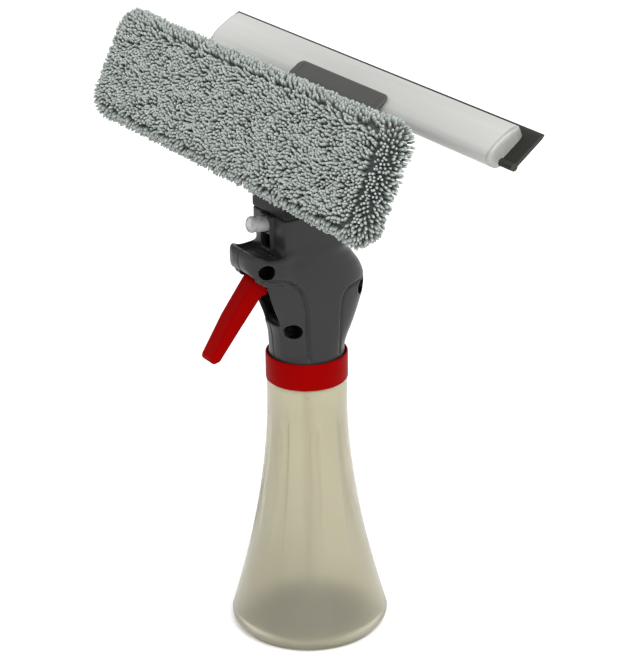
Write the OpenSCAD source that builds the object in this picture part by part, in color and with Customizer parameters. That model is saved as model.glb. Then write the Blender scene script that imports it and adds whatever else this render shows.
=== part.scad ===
// Window cleaning squeegee with a spray bottle handle and a washer pad.
// X runs along the blade, -Y is the spray direction, +Z is up.
// The origin is the centre of the bottle's foot.

/* [Bottle] */
// Radius of the bottle at its widest, just above the foot
bottle_r = 42; // [38:1:46]
// Radius of the bottle at its waist, under the collar
waist_r = 21; // [20.5:0.1:21.2]
// Height of the bottle's mouth
mouth_z = 149; // [149:1:149]
// Wall of the bottle
bottle_wall = 1.6; // [1.2:0.1:2]

/* [Sprayer] */
// Wall of the sprayer's two shells
shell_wall = 2; // [1.8:0.1:2.2]
// Width of the trigger
trigger_w = 13; // [10:0.5:13]
// Upward tilt of the nozzle in degrees
nozzle_tilt = 9; // [6:1:12]

/* [Head] */
// Length of the silver squeegee bar
bar_len = 250; // [200:5:260]
// Length of the rubber
rubber_len = 271; // [220:1:280]
// Slope of the blade above the horizontal in degrees
blade_angle = 37; // [34:1:40]
// Length of the washer pad
pad_len = 262; // [220:2:280]
// Height of the washer pad along its slope
pad_h = 58; // [50:1:60]
// Thickness of the washer pad
pad_t = 16; // [14:0.5:17]
// Lean of the washer pad from the vertical in degrees
pad_lean = 25; // [22:1:28]

/* [Hidden] */
$fn = 64;

red = "#b00000";
dark_grey = "#444444";
near_black = "#262626";
silver = "#d5d6d0";
white_plastic = "#e8e8e4";
steel = "#b8bcc0";

foot_r = bottle_r - 4;
widest_z = 7;
waist_z = 130;
shoulder_z = 143;
neck_r = 17.2;
mouth_r = 15;

collar_r = 21.5;
collar_z = [143.3, 158];
collar_flange_z = [152.5, 154];
collar_hole_r = 14;

body_z = 154.4;
neck_top_z = 237;
spigot_top_z = 254;
// Vent under the nozzle: half its width, and the face it opens on
vent_half = 4.1;
vent_y = -23.8;
flange_z = [150.3, 152.2];
barrel_r = 13.6;
ring_groove_z = [155.8, 158.2];

pump_z = 199;
pump_r = 8.2;
pump_bore = 6.5;
port_r = 1.5;
riser_y = 6;
ball_r = 2;
ball_seat_z = 172;
ball_z = ball_seat_z + sqrt(ball_r * ball_r - port_r * port_r) + 0.03;

pivot = [-24, 209.5];
pin_r = 1.8;
run_fit = 0.05;
nozzle_at = [-21, 231.6];

// Each screw of the shells: Y, Z and the depth X where its head sits
screw_sites = [[-32, 212.2, 10.5], [-15.3, 175.4, 9.5], [27, 190.5, 6]];
screw_r = 1.5;
screw_bore = 1.6;
post_r = 3.4;
boss_r = 5.2;
sink_r = 3.8;
pin_boss_r = 3.8;

blade_root = [26.3, 288.3];
pad_centre = [-43, 290];
// Where the pad sits on its holder's frame: along X, behind, and up the slope
pad_seat = [2, 9.5, 2];
clamp_half = 40;
neck_half = 16;

// Rings of the sprayer body: Z, front Y, back Y, half width, roundness
body_rings = [
  [154.4, -19.6, 19.6, 19.6, 2.0],
  [158.5, -19.9, 19.9, 19.9, 2.0],
  [165, -20.2, 22.0, 19.2, 2.1],
  [172, -20.8, 25.8, 18.5, 2.2],
  [180, -23.0, 29.4, 18.0, 2.3],
  [188, -26.0, 31.8, 17.8, 2.4],
  [197, -28.8, 32.0, 17.6, 2.5],
  [204, -30.6, 29.2, 17.5, 2.6],
  [210, -29.6, 24.8, 17.3, 2.7],
  [216, -25.6, 20.4, 17.0, 3.0],
  [221, -21.6, 17.4, 16.4, 4.0],
  [229, -21.3, 14.2, 16.1, 5.5],
  [237, -21.0, 12.0, 16.0, 6]
];
ring_points = 24;

function bottle_at(z) = waist_r + (bottle_r - waist_r) * pow((waist_z - z) / (waist_z - widest_z), 1.75);
function signed_pow(v, e) = sign(v) * pow(abs(v), e);
function ring_point(ring, inset, a) = [
  (ring[3] - inset) * signed_pow(cos(a), 2 / ring[4]),
  (ring[1] + ring[2]) / 2 + ((ring[2] - ring[1]) / 2 - inset) * signed_pow(sin(a), 2 / ring[4]),
  ring[0]
];
function rounded_rect(w, h, r, n = 5) = [
  for (corner = [0:3], k = [0:n])
    let (a = 90 * corner + 90 * k / n,
      cx = (corner == 0 || corner == 3 ? 1 : -1) * (w / 2 - r),
      cy = (corner < 2 ? 1 : -1) * (h / 2 - r))
    [cx + r * cos(a), cy + r * sin(a)]
];

// A side outline of Y and Z, extruded to both sides of X = 0
module side_slab(half) {
  rotate([90, 0, 90]) linear_extrude(height = 2 * half, center = true) children();
}

// A cylinder along X from x0 to x1
module rod_x(r, x0, x1) {
  translate([x0, 0, 0]) rotate([0, 90, 0]) cylinder(r = r, h = x1 - x0);
}

// A cylinder along Y from y0 to y1
module rod_y(r, y0, y1) {
  translate([0, y0, 0]) rotate([-90, 0, 0]) cylinder(r = r, h = y1 - y0);
}

// A tube along Z from z0 to z1
module tube_z(outer, inner, z0, z1) {
  translate([0, 0, z0]) difference() {
    cylinder(r = outer, h = z1 - z0);
    translate([0, 0, -1]) cylinder(r = inner, h = z1 - z0 + 2);
  }
}

// Y is along the blade's slope, Z stands square to the rubber
module blade_frame() {
  translate([0, blade_root[0], blade_root[1]]) rotate([blade_angle, 0, 0]) children();
}

// -Y is the pad's face, Z runs up its slope
module pad_frame() {
  translate([0, pad_centre[0], pad_centre[1]]) rotate([-pad_lean, 0, 0]) children();
}

// -Y is the spray direction
module nozzle_frame() {
  translate([0, nozzle_at[0], nozzle_at[1]]) rotate([-nozzle_tilt, 0, 0]) children();
}

// A body lofted through rings, drawn in by inset
module ring_loft(rings, inset) {
  n = ring_points;
  count = len(rings);
  points = [for (ring = rings, k = [0:n - 1]) ring_point(ring, inset, 360 * k / n)];
  bottom = [[for (k = [0:n - 1]) k]];
  top = [[for (k = [0:n - 1]) (count - 1) * n + n - 1 - k]];
  sides = [
    for (i = [0:count - 2], k = [0:n - 1], half = [0:1])
      let (a = i * n + k, b = i * n + (k + 1) % n)
      half == 0 ? [a, a + n, b] : [b, a + n, b + n]
  ];
  polyhedron(points = points, faces = concat(bottom, sides, top));
}

module nose_outline(inset) {
  polygon([
    [-19, 203 + inset], [-31.5 + inset, 203 + inset], [-36, 207.3 + inset],
    [-39.6 + inset, 212.5], [-40 + inset, 217.6], [-38 + inset, 221 - inset],
    [-34.5, 221 - inset], [-30.5, 217.8 - inset], [-24, 217 - inset], [-19, 219 - inset]
  ]);
}

// The nose narrows towards its front
module nose(inset) {
  intersection() {
    side_slab(18) nose_outline(inset);
    translate([0, 0, 200]) linear_extrude(height = 30) polygon([
      [-17 + inset, -19], [-16 + inset, -30], [-13 + inset, -36.5], [-8.5, -40 + inset],
      [8.5, -40 + inset], [13 - inset, -36.5], [16 - inset, -30], [17 - inset, -19]
    ]);
  }
}

module body_outside() {
  ring_loft(body_rings, 0);
  nose(0);
  translate([-vent_half - 1.2, vent_y, 218]) cube([2 * vent_half + 2.4, 4, 19]);
  translate([-12.8, -17.5, neck_top_z - 1]) cube([25.6, 25, spigot_top_z - neck_top_z + 1]);
}

module body_inside() {
  inner_rings = concat(
    [[body_z - 1, -19.6, 19.6, 19.6, 2.0]],
    [for (i = [1:len(body_rings) - 2]) body_rings[i]],
    [[neck_top_z - shell_wall, -21.0, 12.0, 16.0, 6]]
  );
  ring_loft(inner_rings, shell_wall);
  nose(shell_wall);
  translate([-10.8, -15.5, neck_top_z - 3]) cube([21.6, 21, spigot_top_z - neck_top_z + 1]);
}

// The whole sprayer body, before it is split down the middle
module sprayer_body() {
  difference() {
    union() {
      difference() {
        body_outside();
        body_inside();
      }
      tube_z(18.5, 12.2, ring_groove_z[0] + 0.2, ring_groove_z[1] - 0.2);
      intersection() {
        body_outside();
        union() {
          for (site = screw_sites) translate([0, site[0], site[1]]) {
            rod_x(post_r, -25, site[2]);
            rod_x(boss_r, site[2] - 1.6, 25);
          }
          for (side = [0, 1]) mirror([side, 0, 0]) translate([0, pivot[0], pivot[1]]) {
            rod_x(pin_boss_r, trigger_w / 2 + 0.9, 25);
          }
        }
      }
    }
    for (site = screw_sites) translate([0, site[0], site[1]]) {
      rod_x(screw_bore, -site[2] + 2, 25);
      rod_x(sink_r, site[2], 25);
    }
    translate([-trigger_w / 2 - 0.9, -36, 178]) cube([trigger_w + 1.8, 22, 32]);
    translate([0, pivot[0], pivot[1]]) rod_x(pin_r + run_fit, -9.6, 9.6);
    nozzle_frame() rod_y(4.3, -20, 8);
    translate([-vent_half, vent_y - 2, 219.4]) cube([2 * vent_half, 9, 7.6]);
    translate([0, 0, 246]) rod_y(screw_bore, 0, 12);
  }
}

module bottle() {
  steps = 14;
  outside = concat(
    [[0, 0], [12, 0], [14, 1.2], [foot_r - 6, 1.2], [foot_r - 4.5, 0]],
    [[foot_r, 0], [foot_r + 2.6, 1.8], [foot_r + 3.8, 4.4]],
    [for (i = [0:steps]) let (z = widest_z + (waist_z - widest_z) * i / steps) [bottle_at(z), z]],
    [[waist_r, shoulder_z - 1.5], [waist_r - 1, shoulder_z - 0.3], [neck_r, shoulder_z], [neck_r, mouth_z]]
  );
  inside = [
    [mouth_r, mouth_z], [mouth_r, shoulder_z - 2], [waist_r - bottle_wall, shoulder_z - 6],
    for (i = [steps:-1:0])
      let (z = widest_z + (waist_z - widest_z) * i / steps)
      [bottle_at(z) - bottle_wall, z],
    [foot_r - 1, 3.2], [0, 3]
  ];
  color("#b9b39a") {
    rotate_extrude() polygon(concat(outside, inside));
    tube_z(neck_r + 1.2, neck_r - 0.5, 145.2, 146.4);
  }
}

module neck_gasket() {
  color(near_black) tube_z(17, 14.6, mouth_z + 0.3, flange_z[0]);
}

module collar() {
  color(red) rotate_extrude() polygon([
    [18.9, collar_z[0]], [collar_r - 0.8, collar_z[0]], [collar_r, collar_z[0] + 1.2],
    [collar_r, collar_z[1] - 0.4], [collar_r - 0.4, collar_z[1]], [20.4, collar_z[1]],
    [20.4, collar_flange_z[1]], [collar_hole_r, collar_flange_z[1]],
    [collar_hole_r, collar_flange_z[0]], [18.9, collar_flange_z[0]]
  ]);
}

module tube_adaptor() {
  color(white_plastic) rotate_extrude() polygon([
    [2.65, flange_z[0]], [16.8, flange_z[0]], [16.8, flange_z[1]], [barrel_r, flange_z[1]],
    [barrel_r, ring_groove_z[0]], [12, ring_groove_z[0]], [12, ring_groove_z[1]],
    [barrel_r, ring_groove_z[1]], [barrel_r - 1, 163], [5.05, 163], [5.05, 158], [2.65, 158]
  ]);
}

module dip_tube() {
  color(white_plastic) tube_z(2.6, 1.8, 6, 157.9);
}

module pump_body() {
  color(white_plastic) difference() {
    union() {
      translate([0, 0, 158.2]) cylinder(r = 5, h = 35);
      translate([0, 0, pump_z]) rod_y(pump_r, -17, 11);
      translate([0, riser_y, pump_z]) cylinder(r = 4.2, h = 15);
    }
    translate([0, 0, pump_z]) rod_y(pump_bore, -18, 9);
    translate([0, 0, 158]) cylinder(r = port_r, h = 36);
    translate([0, 0, ball_seat_z]) cylinder(r = 2.6, h = 6);
    translate([0, riser_y, pump_z]) cylinder(r = port_r, h = 16);
    translate([0, riser_y, 209]) cylinder(r = 2.65, h = 6);
  }
}

module inlet_ball() {
  color(steel) translate([0, 0, ball_z]) sphere(r = ball_r);
}

module piston() {
  color(white_plastic) translate([0, 0, pump_z]) {
    rod_y(3, -25.6, -13.9);
    rod_y(6.2, -14, -11);
    rod_y(2.6, -11.1, -6);
  }
}

module piston_seal() {
  color(near_black) translate([0, 0, pump_z]) difference() {
    rod_y(6.44, -11, -8);
    rod_y(2.6, -12, -7);
    difference() {
      rod_y(5.6, -9.6, -7);
      rod_y(3.6, -10, -6);
    }
  }
}

// A wire wound round the Y axis, behind the piston
module return_spring() {
  turns = 5;
  sides = 6;
  steps = 14 * turns;
  wire_r = 0.5;
  coil_r = 4.6;
  y0 = -7.3;
  y1 = 8.4;
  points = [
    for (i = [0:steps], k = [0:sides - 1])
      let (a = 360 * turns * i / steps, b = 360 * k / sides, r = coil_r + wire_r * cos(b))
      [r * cos(a), y0 + (y1 - y0) * i / steps + wire_r * sin(b), pump_z + r * sin(a)]
  ];
  walls = [
    for (i = [0:steps - 1], k = [0:sides - 1], half = [0:1])
      let (a = i * sides + k, b = i * sides + (k + 1) % sides)
      half == 0 ? [a, a + sides, b] : [b, a + sides, b + sides]
  ];
  ends = [[for (k = [0:sides - 1]) k], [for (k = [sides - 1:-1:0]) steps * sides + k]];
  color(steel) polyhedron(points = points, faces = concat(walls, ends));
}

module outlet_valve() {
  color(near_black) translate([0, riser_y, 0]) {
    translate([0, 0, 209.1]) cylinder(r = 2.3, h = 0.9);
    translate([0, 0, 209.9]) cylinder(r = 0.9, h = 2.4);
  }
}

module discharge_tube() {
  color(white_plastic) translate([0, riser_y, 0]) tube_z(2.6, 1.5, 212.6, 225.8);
}

module nozzle_barrel() {
  color(white_plastic) difference() {
    union() {
      translate([-4.4, riser_y - 4.4, 221]) cube([8.8, 8.8, 10.6]);
      nozzle_frame() rod_y(3.6, 4.2, 24);
      nozzle_frame() rod_y(2.4, -6.5, 4.3);
    }
    translate([0, riser_y, 220]) cylinder(r = 2.65, h = 6);
    translate([0, riser_y, 220]) cylinder(r = 1.3, h = 8);
    nozzle_frame() rod_y(1.2, -7, 28);
  }
}

module nozzle() {
  color("#dedede") nozzle_frame() rotate([90, 0, 0]) rotate_extrude() polygon([
    [2.5, -4], [4.1, -4], [4, 11.6], [3.7, 12], [3, 12],
    [2.8, 8.2], [0.4, 8.2], [0.4, 7.2], [2.5, 7.2]
  ]);
}

module trigger() {
  color(red) difference() {
    union() {
      side_slab(trigger_w / 2) polygon([
        [-28, 211], [-34.2, 204.6], [-47.4, 187.3], [-59.4, 168.4], [-59.7, 166.5],
        [-58.4, 165.1], [-54.8, 165.9], [-42.2, 181.2], [-29.8, 195.8], [-26, 196.4],
        [-25.9, 202], [-20.6, 207.2]
      ]);
      translate([0, pivot[0], pivot[1]]) rod_x(4.3, -trigger_w / 2, trigger_w / 2);
    }
    translate([0, pivot[0], pivot[1]]) rod_x(pin_r + run_fit, -20, 20);
  }
}

module trigger_pin() {
  color(steel) translate([0, pivot[0], pivot[1]]) rod_x(pin_r, -9.4, 9.4);
}

module shell_right() {
  color(dark_grey) intersection() {
    sprayer_body();
    translate([0, -60, 100]) cube([40, 120, 200]);
  }
}

module shell_left() {
  color(dark_grey) intersection() {
    sprayer_body();
    translate([-40, -60, 100]) cube([40, 120, 200]);
  }
}

module shell_screws() {
  color(near_black) for (site = screw_sites) translate([0, site[0], site[1]]) {
    rod_x(screw_r, -site[2] + 2.5, site[2] + 0.2);
    rod_x(3.2, site[2] + 0.1, site[2] + 2.2);
  }
}

module head_bracket() {
  color(near_black) difference() {
    union() {
      translate([-neck_half, -21.2, neck_top_z + 0.2]) cube([2 * neck_half, 33, 20]);
      side_slab(neck_half) polygon([
        [-21.2, 254], [11.8, 254], [22.5, 278.5], [13.6, 289.4], [12, 291], [-14, 291],
        [-24.6, 291.6], [-34.4, 270.5]
      ]);
      pad_frame() translate([-30, 14.2, -15]) cube([60, 3.2, 31]);
      blade_frame() side_slab(clamp_half - 2) polygon([
        [-9, -6], [9, -6], [9, -2.7], [-3.2, -2.7], [-4.3, 1], [-4.3, 8.6], [-9, 8.6]
      ]);
    }
    translate([-13, -17.7, neck_top_z - 1]) cube([26, 25.4, 18.4]);
    translate([0, 0, 246]) rod_y(screw_bore, 0, 14);
    for (x = [-10, 10]) translate([x, 2, 280]) cylinder(r = screw_bore, h = 14);
    for (x = [-22, 22]) translate([x, 0, 0]) pad_frame() rod_y(screw_bore, 12, 22);
  }
}

module head_screw() {
  color(steel) translate([0, 0, 246]) {
    rod_y(screw_r, 4, 12);
    rod_y(3, 11.9, 13.8);
  }
}

module bracket_cover() {
  color("#5c5c5a") difference() {
    union() {
      blade_frame() side_slab(clamp_half) polygon([
        [-9, 9], [-4, 9], [-2.6, 9.4], [5.8, 9.5], [5.8, 10.1], [5, 10.8], [-3, 11.2], [-9, 10.8]
      ]);
      side_slab(clamp_half) polygon([
        [15.5, 291.4], [15.5, 294.2], [4, 295.2], [-17, 295.2], [-17, 293.2], [3, 293.2], [9, 291.4]
      ]);
      for (x = [-10, 10]) translate([x, 2, 291.2]) cylinder(r = 3.4, h = 3);
    }
    for (x = [-10, 10]) translate([x, 2, 280]) {
      cylinder(r = screw_bore, h = 20);
      translate([0, 0, 13]) cylinder(r = 3.2, h = 10);
    }
  }
}

module cover_screws() {
  color(steel) for (x = [-10, 10]) translate([x, 2, 0]) {
    translate([0, 0, 282]) cylinder(r = screw_r, h = 11.2);
    translate([0, 0, 293.1]) cylinder(r = 2.9, h = 1.8);
  }
}

module bar_outline() {
  polygon([
    [-2.2, -1], [1, -2.3], [13.8, -2.4], [16.9, -1.4], [18, 1.2], [19, 5.4], [18.8, 6.4],
    [15, 7.7], [10, 8.6], [4, 9.1], [0.4, 8.8], [-2.6, 7.4], [-3.9, 5], [-3.7, 1.8]
  ]);
}

module rubber_slot() {
  polygon([[0, -1.15], [30, -1.15], [30, 1.15], [0, 1.15]]);
  translate([1.6, 0]) circle(r = 2.1);
}

module blade_bar() {
  color(silver) blade_frame() side_slab(bar_len / 2 - 1.4) difference() {
    bar_outline();
    rubber_slot();
    polygon([
      [-2.2, 5], [-1.2, 6.6], [0.8, 7.6], [4, 7.9], [10, 7.4], [15, 6.4], [17.3, 5.2],
      [16.9, 2.9], [4.6, 2.9], [-1.6, 3.2]
    ]);
  }
}

module bar_end_caps() {
  color(silver) for (side = [-1, 1]) translate([side * (bar_len / 2 - 0.7), 0, 0]) {
    blade_frame() side_slab(0.7) difference() {
      bar_outline();
      rubber_slot();
    }
  }
}

module blade_rubber() {
  color("#20201d") blade_frame() side_slab(rubber_len / 2) {
    polygon([[0, -1], [21, -1], [22.6, -0.5], [22.6, 0.5], [21, 1], [0, 1]]);
    translate([1.6, 0]) circle(r = 1.95);
  }
}

module pad_holder() {
  color(near_black) pad_frame() difference() {
    union() {
      translate([0, 13.9, 0]) rotate([90, 0, 0]) linear_extrude(height = 3) {
        polygon(rounded_rect(244, 42, 6));
      }
      for (z = [-19.5, 18]) translate([-112, 13.8, z]) cube([224, 2.2, 1.8]);
    }
    for (x = [-22, 22]) translate([x, 0, 0]) rod_y(screw_bore, 9, 20);
  }
}

module holder_screws() {
  color(steel) for (x = [-22, 22]) translate([x, 0, 0]) pad_frame() {
    rod_y(screw_r, 11.2, 17.6);
    rod_y(3, 17.5, 19.4);
  }
}

module hook_strips() {
  color("#303030") pad_frame() for (z = [-18, 4]) {
    translate([-115, 9.9, z]) cube([230, 0.95, 14]);
  }
}

// The pad's own corner, square to its face, with its back against the holder
module pad_seat_frame() {
  pad_frame() translate([pad_seat[0], pad_seat[1] - pad_t / 2, pad_seat[2]]) children();
}

// The block of foam, grown by a gap on every side
module foam_block(gap) {
  size = [pad_len - 12 + 2 * gap, pad_t - 5 + 2 * gap, pad_h - 10 + 2 * gap];
  translate([0, 0.5, 0]) cube(size, center = true);
}

module pad_core() {
  color("#c8c4a8") pad_seat_frame() foam_block(0);
}

module washer_pad() {
  color("#9aa6a2") pad_seat_frame() difference() {
    intersection() {
      side_slab(pad_len / 2) polygon(rounded_rect(pad_t, pad_h, 6));
      rotate([90, 0, 0]) linear_extrude(height = pad_t + 2, center = true) {
        polygon(rounded_rect(pad_len, pad_h, 9));
      }
    }
    foam_block(0.2);
  }
}

bottle();
neck_gasket();
collar();
tube_adaptor();
dip_tube();
pump_body();
inlet_ball();
piston();
piston_seal();
return_spring();
outlet_valve();
discharge_tube();
nozzle_barrel();
nozzle();
trigger();
trigger_pin();
shell_right();
shell_left();
shell_screws();
head_bracket();
head_screw();
bracket_cover();
cover_screws();
blade_bar();
bar_end_caps();
blade_rubber();
pad_holder();
holder_screws();
hook_strips();
pad_core();
washer_pad();
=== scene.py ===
"""A window cleaning squeegee with a spray bottle handle and a washer pad, dressed for rendering."""

import math

import bmesh
import bpy
import numpy as np
from mathutils import Matrix, Vector


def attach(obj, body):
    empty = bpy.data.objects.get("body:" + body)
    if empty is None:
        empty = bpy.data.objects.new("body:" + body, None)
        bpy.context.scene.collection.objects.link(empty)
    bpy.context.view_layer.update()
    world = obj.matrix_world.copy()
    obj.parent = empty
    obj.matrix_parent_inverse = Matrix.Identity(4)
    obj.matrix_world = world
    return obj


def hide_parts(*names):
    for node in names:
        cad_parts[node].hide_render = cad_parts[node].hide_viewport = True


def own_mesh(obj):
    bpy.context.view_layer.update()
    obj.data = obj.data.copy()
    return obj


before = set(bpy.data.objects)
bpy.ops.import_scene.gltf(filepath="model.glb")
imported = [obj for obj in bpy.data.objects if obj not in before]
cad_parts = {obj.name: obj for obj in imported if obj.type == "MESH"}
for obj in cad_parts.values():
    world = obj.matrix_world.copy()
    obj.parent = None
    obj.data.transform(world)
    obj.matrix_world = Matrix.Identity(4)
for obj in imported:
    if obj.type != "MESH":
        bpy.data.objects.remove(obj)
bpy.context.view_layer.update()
MM = 0.001  # one millimetre in the frame's metres


# ---- Studio ------------------------------------------------------------------------------------
# A white sweep in an even white room, with one broad soft light from above on the camera's right,
# so that the sprayer's front falls into shade. The camera looks a little down on the squeegee.
scene = bpy.context.scene
scene.view_settings.view_transform = "Standard"


def place_camera(aim, distance, azimuth, elevation, roll, lens):
    """A camera that looks at aim from a height and a bearing in degrees, turned by roll."""
    a, e, r = (math.radians(angle) for angle in (azimuth, elevation, roll))
    back = Vector((math.sin(a) * math.cos(e), -math.cos(a) * math.cos(e), math.sin(e)))
    level = Vector((math.cos(a), math.sin(a), 0))
    up = back.cross(level)
    right = level * math.cos(r) + up * math.sin(r)
    top = up * math.cos(r) - level * math.sin(r)
    camera = bpy.data.objects.new("camera", bpy.data.cameras.new("camera"))
    camera.data.sensor_width = 36
    camera.data.lens = lens
    camera.matrix_world = Matrix((right, top, back)).transposed().to_4x4()
    camera.location = aim + back * distance
    scene.collection.objects.link(camera)
    scene.camera = camera


def broad_light(name, place, spread, strength):
    """A light as wide as the sky's bright part, in degrees, that shines from place to the middle."""
    light = bpy.data.objects.new(name, bpy.data.lights.new(name, "SUN"))
    light.data.angle = math.radians(spread)
    light.data.energy = strength
    light.rotation_euler = Vector(place).to_track_quat("Z", "Y").to_euler()
    scene.collection.objects.link(light)


place_camera(Vector((-0.0046, 0.00577, 0.16667)), 1.15, 57.7, 22.7, -0.7, 121.1)
broad_light("key_light", (1.0, -0.3, 1.1), 40, 2.8)

world = bpy.data.worlds.new("white_room")
world.use_nodes = True
world.node_tree.nodes["Background"].inputs["Color"].default_value = (1, 1, 1, 1)
world.node_tree.nodes["Background"].inputs["Strength"].default_value = 0.93
scene.world = world

floor_half = 4.0
floor_drop = 0.0001
floor_mesh = bpy.data.meshes.new("floor")
floor_corners = [(-1, -1), (1, -1), (1, 1), (-1, 1)]
floor_points = [(x * floor_half, y * floor_half, -floor_drop) for x, y in floor_corners]
floor_mesh.from_pydata(floor_points, [], [(0, 1, 2, 3)])
floor = bpy.data.objects.new("floor", floor_mesh)
floor_paint = bpy.data.materials.new("floor_paint")
floor_paint.use_nodes = True
floor_paint.node_tree.nodes["Principled BSDF"].inputs["Base Color"].default_value = (0.96, 0.96, 0.96, 1)
floor_paint.node_tree.nodes["Principled BSDF"].inputs["Roughness"].default_value = 0.6
floor_mesh.materials.append(floor_paint)
scene.collection.objects.link(floor)


# ---- Bottle ------------------------------------------------------------------------------------
# The bottle is blow moulded in one piece from frosted polypropylene. It has a slim waist to hold,
# a flared skirt to stand on, eight shallow flutes, and a plain neck under the red collar.
def linear(red, green, blue):
    """A colour given in display values from 0 to 255, as the linear values a shader takes."""
    shares = [value / 255 for value in (red, green, blue)]
    return tuple(((v + 0.055) / 1.055) ** 2.4 if v > 0.04 else v / 12.92 for v in shares) + (1,)


def marks_group():
    """What moulding leaves on every plastic: fine grain, a slow drift of tone, and rubbed edges."""
    tree = bpy.data.node_groups.new("moulding_marks", "ShaderNodeTree")
    for name, value in (("Grain Scale", 900.0), ("Drift Scale", 25.0)):
        tree.interface.new_socket(name, in_out="INPUT", socket_type="NodeSocketFloat").default_value = value
    for name in ("Grain", "Drift", "Edge"):
        tree.interface.new_socket(name, in_out="OUTPUT", socket_type="NodeSocketFloat")
    given, put_out = tree.nodes.new("NodeGroupInput"), tree.nodes.new("NodeGroupOutput")
    place = tree.nodes.new("ShaderNodeTexCoord")
    for output, scale, detail in (("Grain", "Grain Scale", 2.0), ("Drift", "Drift Scale", 4.0)):
        noise = tree.nodes.new("ShaderNodeTexNoise")
        noise.inputs["Detail"].default_value = detail
        tree.links.new(place.outputs["Object"], noise.inputs["Vector"])
        tree.links.new(given.outputs[scale], noise.inputs["Scale"])
        tree.links.new(noise.outputs["Fac"], put_out.inputs[output])
    geometry, edge = tree.nodes.new("ShaderNodeNewGeometry"), tree.nodes.new("ShaderNodeMapRange")
    edge.inputs["From Min"].default_value = 0.53
    edge.inputs["From Max"].default_value = 0.62
    tree.links.new(geometry.outputs["Pointiness"], edge.inputs["Value"])
    tree.links.new(edge.outputs["Result"], put_out.inputs["Edge"])
    return tree


moulding_marks = marks_group()


def blend_colours(tree, share, first, second):
    """A mix of two colours, or of a colour and an earlier mix, by a socket's value."""
    mix = tree.nodes.new("ShaderNodeMix")
    mix.data_type = "RGBA"
    tree.links.new(share, mix.inputs["Factor"])
    for socket, colour in ((mix.inputs["A"], first), (mix.inputs["B"], second)):
        if isinstance(colour, bpy.types.NodeSocket):
            tree.links.new(colour, socket)
        else:
            socket.default_value = colour
    return mix.outputs["Result"]


def spread_value(tree, value, low, high, from_low=0.3, from_high=0.7):
    """Carries a value from one span of numbers to another."""
    span = tree.nodes.new("ShaderNodeMapRange")
    for name, number in (("From Min", from_low), ("From Max", from_high), ("To Min", low), ("To Max", high)):
        span.inputs[name].default_value = number
    tree.links.new(value, span.inputs["Value"])
    return span.outputs["Result"]


def raise_height(tree, height, depth):
    """Feeds a height into the material's normal, as a relief of that depth in metres."""
    bump = tree.nodes.new("ShaderNodeBump")
    bump.inputs["Strength"].default_value = 1.0
    bump.inputs["Distance"].default_value = depth
    tree.links.new(height, bump.inputs["Height"])
    tree.links.new(bump.outputs["Normal"], tree.nodes["Principled BSDF"].inputs["Normal"])


def moulded_finish(name, dark, light, rubbed, roughness, grain_scale, grain_depth, **constants):
    """A moulded material: tone drifts from dark to light, edges look rubbed, grain stands in relief."""
    material = bpy.data.materials.new(name)
    material.use_nodes = True
    tree = material.node_tree
    shader = tree.nodes["Principled BSDF"]
    marks = tree.nodes.new("ShaderNodeGroup")
    marks.node_tree = moulding_marks
    marks.inputs["Grain Scale"].default_value = grain_scale
    tone = blend_colours(tree, spread_value(tree, marks.outputs["Drift"], 0, 1), dark, light)
    tone = blend_colours(tree, marks.outputs["Edge"], tone, rubbed)
    tree.links.new(tone, shader.inputs["Base Color"])
    tree.links.new(spread_value(tree, marks.outputs["Drift"], *roughness), shader.inputs["Roughness"])
    raise_height(tree, marks.outputs["Grain"], grain_depth)
    for socket, value in constants.items():
        shader.inputs[socket.replace("_", " ")].default_value = value
    return material


def make_piece(name, points, faces, material, body, slot, replaced=(), sharp=35):
    """A mesh piece from points in millimetres, that rides on a body and stands for CAD nodes."""
    mesh = bpy.data.meshes.new(name)
    mesh.from_pydata((np.asarray(points, float) * MM).tolist(), [], np.asarray(faces).tolist())
    tidy = bmesh.new()
    tidy.from_mesh(mesh)
    bmesh.ops.remove_doubles(tidy, verts=tidy.verts, dist=1e-6)
    bmesh.ops.recalc_face_normals(tidy, faces=tidy.faces)
    tidy.to_mesh(mesh)
    tidy.free()
    mesh.shade_smooth()
    mesh.set_sharp_from_angle(angle=math.radians(sharp))
    mesh.materials.append(material)
    piece = bpy.data.objects.new(name, mesh)
    scene.collection.objects.link(piece)
    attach(piece, body)
    if replaced:
        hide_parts(*replaced)
    return piece


def revolve(profile, segments, shape=None):
    """A closed profile of radius and height turned round Z; shape may change the radius on the way."""
    profile = np.asarray(profile, float)
    angle = np.arange(segments) * math.tau / segments
    height = profile[:, 1:]
    radius = profile[:, :1] + 0 * angle
    if shape:
        radius = shape(radius, height, angle)
    points = np.stack([radius * np.cos(angle), radius * np.sin(angle), height + 0 * angle], -1)
    ring, step = np.meshgrid(range(len(profile)), range(segments), indexing="ij")
    after, turned = (ring + 1) % len(profile), (step + 1) % segments
    corners = [
        ring * segments + step, ring * segments + turned,
        after * segments + turned, after * segments + step,
    ]
    return points.reshape(-1, 3), np.stack(corners, -1).reshape(-1, 4)


bottle_r = 42
foot_r = bottle_r - 4
waist_r = 21
waist_z, widest_z, shoulder_z, mouth_z = 130, 7, 143, 149
neck_r, mouth_r = 17.2, 15
wall = 1.6
floor_z = 3


def skirt_radius(z):
    """The flared skirt, from the waist down to the widest ring above the foot."""
    return waist_r + (bottle_r - waist_r) * np.clip((waist_z - z) / (waist_z - widest_z), 0, 1) ** 1.75


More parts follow.
